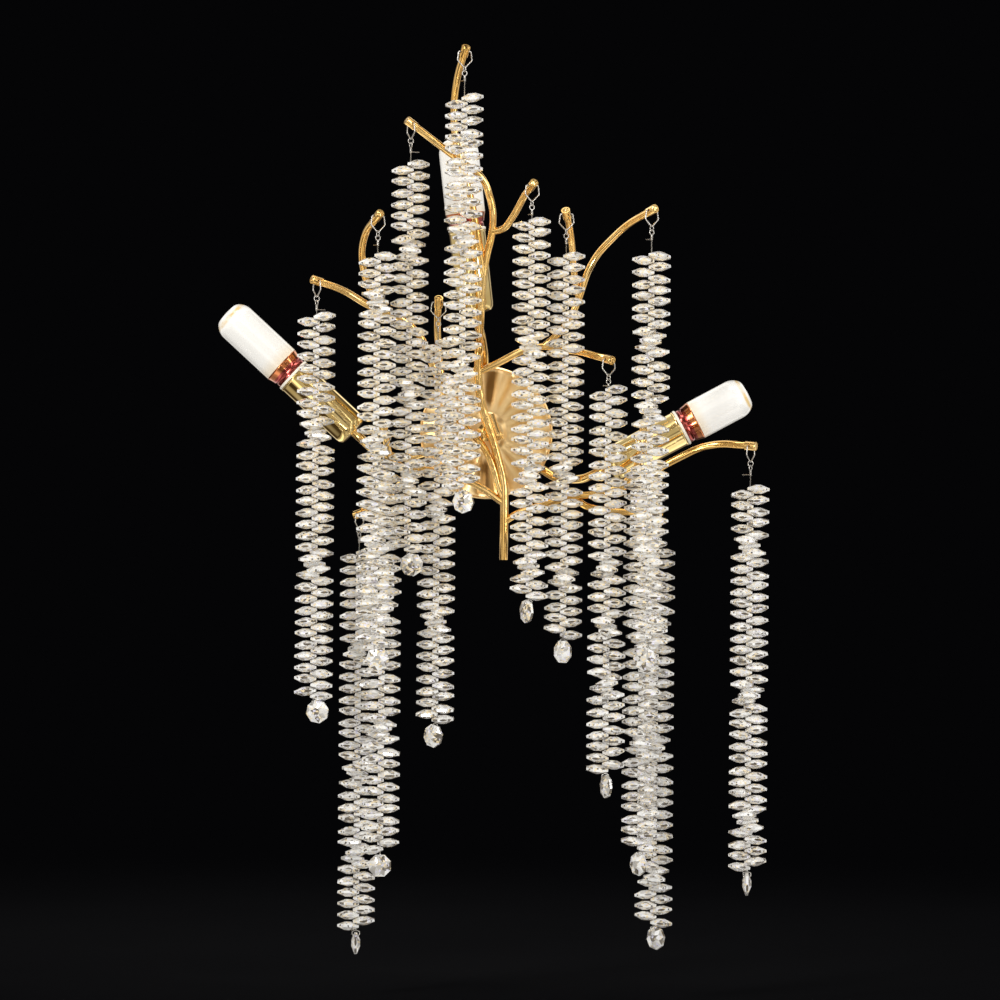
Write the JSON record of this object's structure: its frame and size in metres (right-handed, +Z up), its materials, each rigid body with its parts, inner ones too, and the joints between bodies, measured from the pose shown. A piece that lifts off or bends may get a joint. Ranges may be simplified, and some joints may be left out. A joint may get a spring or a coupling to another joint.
{
  "type": "crystal wall sconce",
  "caption": "Wall sconce with a fluted brass plate, bent brass branches hung with zigzag strands of clear octagon crystals, and tubular opal lamps in brass cups.",
  "frame": {"origin": "centre of the round plate on the wall plane, midway between the wall screws", "axes": "+X to the right as seen from the room, +Y into the wall, +Z up; the sconce faces -Y"},
  "size_m": [0.4066, 0.1316, 0.6689],
  "materials": {
    "polished_brass": "polished",
    "satin_brass": "satin",
    "zinc_steel": "satin",
    "steel_wire": "polished",
    "crystal": "clear cut crystal",
    "opal_glass": "opal, lit",
    "copper_red": "glossy lacquer",
    "cream_ceramic": "glazed",
    "white_plastic": "matte",
    "lead_insulation": "matte"
  },
  "bodies": {
    "fixture": {"wall_bracket": "zinc_steel", "canopy": "polished_brass", "back_plate": "satin_brass", "centre_fixing": "zinc_steel", "centre_post": "polished_brass", "main_stem": "polished_brass", "branch_a": "polished_brass", "branch_b": "polished_brass", "branch_c": "polished_brass", "branch_d": "polished_brass", "branch_e": "polished_brass", "branch_f": "polished_brass", "branch_g": "polished_brass", "branch_h": "polished_brass", "branch_i": "polished_brass", "branch_j": "polished_brass", "branch_k": "polished_brass", "branch_l": "polished_brass", "branch_m": "polished_brass", "branch_n": "polished_brass", "tip_ferrules": "polished_brass", "lamp_arms": "polished_brass", "lamp_leads": "lead_insulation", "lamp_cups": "polished_brass", "lampholders": "cream_ceramic", "terminal_block": "white_plastic"},
    "strand_a": {"strand_a_wire": "steel_wire", "strand_a_crystals": "crystal"},
    "strand_b": {"strand_b_wire": "steel_wire", "strand_b_crystals": "crystal"},
    "strand_c": {"strand_c_wire": "steel_wire", "strand_c_crystals": "crystal"},
    "strand_d": {"strand_d_wire": "steel_wire", "strand_d_crystals": "crystal"},
    "strand_e": {"strand_e_wire": "steel_wire", "strand_e_crystals": "crystal"},
    "strand_f": {"strand_f_wire": "steel_wire", "strand_f_crystals": "crystal"},
    "strand_g": {"strand_g_wire": "steel_wire", "strand_g_crystals": "crystal"},
    "strand_h": {"strand_h_wire": "steel_wire", "strand_h_crystals": "crystal"},
    "strand_i": {"strand_i_wire": "steel_wire", "strand_i_crystals": "crystal"},
    "strand_j": {"strand_j_wire": "steel_wire", "strand_j_crystals": "crystal"},
    "strand_k": {"strand_k_wire": "steel_wire", "strand_k_crystals": "crystal"},
    "strand_l": {"strand_l_wire": "steel_wire", "strand_l_crystals": "crystal"},
    "strand_m": {"strand_m_wire": "steel_wire", "strand_m_crystals": "crystal"},
    "strand_n": {"strand_n_wire": "steel_wire", "strand_n_crystals": "crystal"},
    "bulb_top": {"bulb_top_base": "copper_red", "bulb_top_glass": "opal_glass"},
    "bulb_left": {"bulb_left_base": "copper_red", "bulb_left_glass": "opal_glass"},
    "bulb_right": {"bulb_right_base": "copper_red", "bulb_right_glass": "opal_glass"}
  },
  "joints": [
    {"name": "strand_a_swing", "type": "hinge", "parent": "fixture", "child": "strand_a", "pos_m": [-0.01775, -0.11241, 0.2761], "axis": [-0.9395, -0.3426, 0], "range_deg": [-4, 20]},
    {"name": "strand_b_swing", "type": "hinge", "parent": "fixture", "child": "strand_b", "pos_m": [-0.05678, -0.09225, 0.2249], "axis": [-0.5137, 0.8579, 0], "range_deg": [-0.5, 0.5]},
    {"name": "strand_c_swing", "type": "hinge", "parent": "fixture", "child": "strand_c", "pos_m": [-0.07979, -0.11275, 0.15589], "axis": [-0.8977, -0.4407, 0], "range_deg": [-2, 20]},
    {"name": "strand_d_swing", "type": "hinge", "parent": "fixture", "child": "strand_d", "pos_m": [-0.1245, -0.09398, 0.10899], "axis": [-0.5233, 0.8522, 0], "range_deg": [-2, 20]},
    {"name": "strand_e_swing", "type": "hinge", "parent": "fixture", "child": "strand_e", "pos_m": [-0.03581, -0.07041, 0.09496], "axis": [-0.9966, -0.0821, 0], "range_deg": [-1, 1.25]},
    {"name": "strand_f_swing", "type": "hinge", "parent": "fixture", "child": "strand_f", "pos_m": [0.03214, -0.10071, 0.17975], "axis": [-0.914, -0.4056, 0], "range_deg": [-4, 20]},
    {"name": "strand_g_swing", "type": "hinge", "parent": "fixture", "child": "strand_g", "pos_m": [0.05756, -0.08566, 0.15978], "axis": [-0.9662, 0.2577, 0], "range_deg": [-1.5, 0.25]},
    {"name": "strand_h_swing", "type": "hinge", "parent": "fixture", "child": "strand_h", "pos_m": [0.11919, -0.11778, 0.16141], "axis": [-0.8366, -0.5478, 0], "range_deg": [-1, 20]},
    {"name": "strand_i_swing", "type": "hinge", "parent": "fixture", "child": "strand_i", "pos_m": [0.08909, -0.10067, 0.05317], "axis": [-0.8445, -0.5356, 0], "range_deg": [-1.25, 1.5]},
    {"name": "strand_j_swing", "type": "hinge", "parent": "fixture", "child": "strand_j", "pos_m": [0.19368, -0.08979, -0.0089], "axis": [-0.5547, -0.8321, 0], "range_deg": [-10, 25]},
    {"name": "strand_k_swing", "type": "hinge", "parent": "fixture", "child": "strand_k", "pos_m": [-0.09359, -0.03003, -0.06094], "axis": [0.5348, 0.845, 0], "range_deg": [-2, 25]},
    {"name": "strand_l_swing", "type": "hinge", "parent": "fixture", "child": "strand_l", "pos_m": [-0.07527, -0.06896, 0.00064], "axis": [-0.9417, 0.3363, 0], "range_deg": [-2, 5]},
    {"name": "strand_m_swing", "type": "hinge", "parent": "fixture", "child": "strand_m", "pos_m": [0.11532, -0.08473, 0.00062], "axis": [-0.9874, -0.158, 0], "range_deg": [-2, 1.25]},
    {"name": "strand_n_swing", "type": "hinge", "parent": "fixture", "child": "strand_n", "pos_m": [0.1266, -0.04525, -0.05791], "axis": [0.3116, -0.9502, 0], "range_deg": [-20, 20]},
    {"name": "bulb_top_unscrew", "type": "slide", "parent": "fixture", "child": "bulb_top", "axis": [-0.116, 0, 0.9932], "range_m": [0, 0.03]},
    {"name": "bulb_left_unscrew", "type": "slide", "parent": "fixture", "child": "bulb_left", "axis": [-0.738, 0, 0.6748], "range_m": [0, 0.03]},
    {"name": "bulb_right_unscrew", "type": "slide", "parent": "fixture", "child": "bulb_right", "axis": [0.8788, 0, 0.4771], "range_m": [0, 0.03]}
  ]
}
